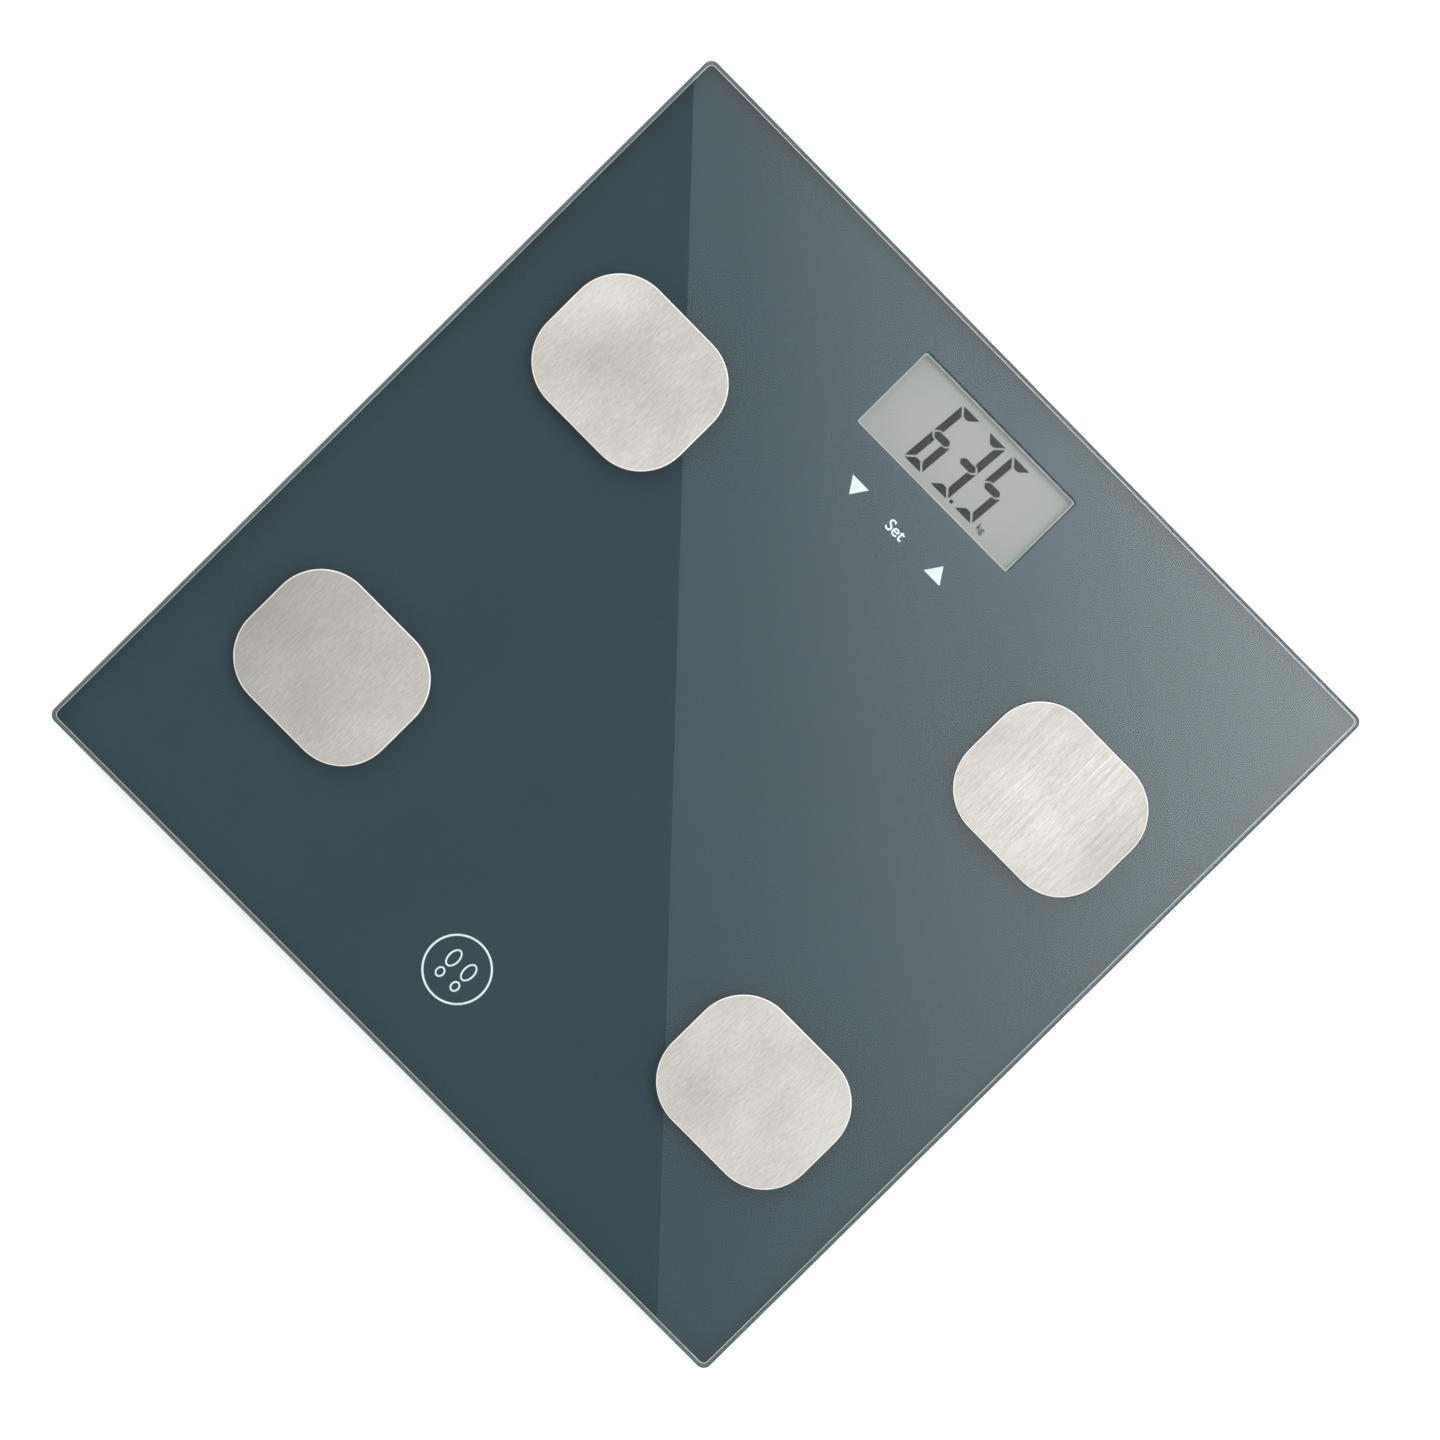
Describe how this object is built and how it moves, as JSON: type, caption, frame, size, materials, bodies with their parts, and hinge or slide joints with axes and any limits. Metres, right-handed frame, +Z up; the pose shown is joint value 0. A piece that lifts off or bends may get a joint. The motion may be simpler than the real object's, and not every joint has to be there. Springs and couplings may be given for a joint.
{
  "type": "digital bathroom scale",
  "caption": "Square glass bathroom scale with a display window, touch keys, steel electrode plates and sprung load-cell feet.",
  "frame": {"origin": "middle of the pane in plan, on the floor that the four pads stand on", "axes": "+X to the user's right, +Y away from the user towards the display, +Z up"},
  "size_m": [0.3, 0.3, 0.0235],
  "materials": {
    "glass": "clear tempered float glass, polished edge",
    "enamel": "screen-printed enamel, blue-grey",
    "electrode_steel": "fine straight brushing",
    "plated_steel": "bright nickel plate",
    "housing_plastic": "fine spark texture",
    "button_plastic": "smooth satin",
    "foam": "closed-cell foam",
    "rubber": "matt, ribbed",
    "laminate": "solder-masked glass laminate",
    "lcd_glass": "satin polariser",
    "bezel_plastic": "smooth white",
    "resin": "moulded black resin",
    "cell_sleeve": "printed shrink sleeve",
    "lead_sheath": "soft PVC"
  },
  "bodies": {
    "platform": {"glass_platform": "glass", "back_print": "enamel", "electrode_rear_left": "electrode_steel", "electrode_rear_right": "electrode_steel", "electrode_front_left": "electrode_steel", "electrode_front_right": "electrode_steel", "electrode_stud_rear_left": "plated_steel", "electrode_stud_rear_right": "plated_steel", "electrode_stud_front_left": "plated_steel", "electrode_stud_front_right": "plated_steel", "load_cell_rear_left": "plated_steel", "load_cell_rear_right": "plated_steel", "load_cell_front_left": "plated_steel", "load_cell_front_right": "plated_steel", "cover_screw_rear_left": "plated_steel", "cover_screw_rear_right": "plated_steel", "cover_screw_front_left": "plated_steel", "cover_screw_front_right": "plated_steel", "battery_contact_bridge": "plated_steel", "battery_contact_plus": "plated_steel", "battery_contact_minus": "plated_steel", "touch_spring_down": "plated_steel", "touch_spring_set": "plated_steel", "touch_spring_up": "plated_steel", "housing_frame": "housing_plastic", "housing_cover": "housing_plastic", "foot_mount_rear_left": "housing_plastic", "foot_mount_rear_right": "housing_plastic", "foot_mount_front_left": "housing_plastic", "foot_mount_front_right": "housing_plastic", "cable_clip_left": "housing_plastic", "cable_clip_right": "housing_plastic", "housing_gasket": "foam", "zebra_strip": "foam", "circuit_board": "laminate", "lcd_panel": "lcd_glass", "display_bezel": "bezel_plastic", "tact_switch": "resin", "controller_chip": "resin", "battery_cell_rear": "cell_sleeve", "battery_cell_front": "cell_sleeve", "load_cell_lead_rear_left": "lead_sheath", "load_cell_lead_rear_right": "lead_sheath", "load_cell_lead_front_left": "lead_sheath", "load_cell_lead_front_right": "lead_sheath", "electrode_lead_rear_left": "lead_sheath", "electrode_lead_rear_right": "lead_sheath", "electrode_lead_front_left": "lead_sheath", "electrode_lead_front_right": "lead_sheath"},
    "battery_door": {"battery_door": "housing_plastic"},
    "unit_button": {"unit_button": "button_plastic"},
    "foot_rear_left": {"foot_shell_rear_left": "housing_plastic", "rubber_pad_rear_left": "rubber"},
    "foot_rear_right": {"foot_shell_rear_right": "housing_plastic", "rubber_pad_rear_right": "rubber"},
    "foot_front_left": {"foot_shell_front_left": "housing_plastic", "rubber_pad_front_left": "rubber"},
    "foot_front_right": {"foot_shell_front_right": "housing_plastic", "rubber_pad_front_right": "rubber"}
  },
  "joints": [
    {"name": "foot_press_rear_left", "type": "slide", "parent": "platform", "child": "foot_rear_left", "axis": [0, 0, 1], "range_m": [0, 0.0005], "stiffness_N_per_m": 800000},
    {"name": "foot_press_rear_right", "type": "slide", "parent": "platform", "child": "foot_rear_right", "axis": [0, 0, 1], "range_m": [0, 0.0005], "stiffness_N_per_m": 800000},
    {"name": "foot_press_front_left", "type": "slide", "parent": "platform", "child": "foot_front_left", "axis": [0, 0, 1], "range_m": [0, 0.0005], "stiffness_N_per_m": 800000},
    {"name": "foot_press_front_right", "type": "slide", "parent": "platform", "child": "foot_front_right", "axis": [0, 0, 1], "range_m": [0, 0.0005], "stiffness_N_per_m": 800000},
    {"name": "battery_door_hinge", "type": "hinge", "parent": "platform", "child": "battery_door", "pos_m": [0, 0.0729, 0.0035], "axis": [1, 0, 0], "range_deg": [0, 80]},
    {"name": "unit_button_press", "type": "slide", "parent": "platform", "child": "unit_button", "axis": [0, 0, 1], "range_m": [0, 0.0007], "stiffness_N_per_m": 3000}
  ]
}
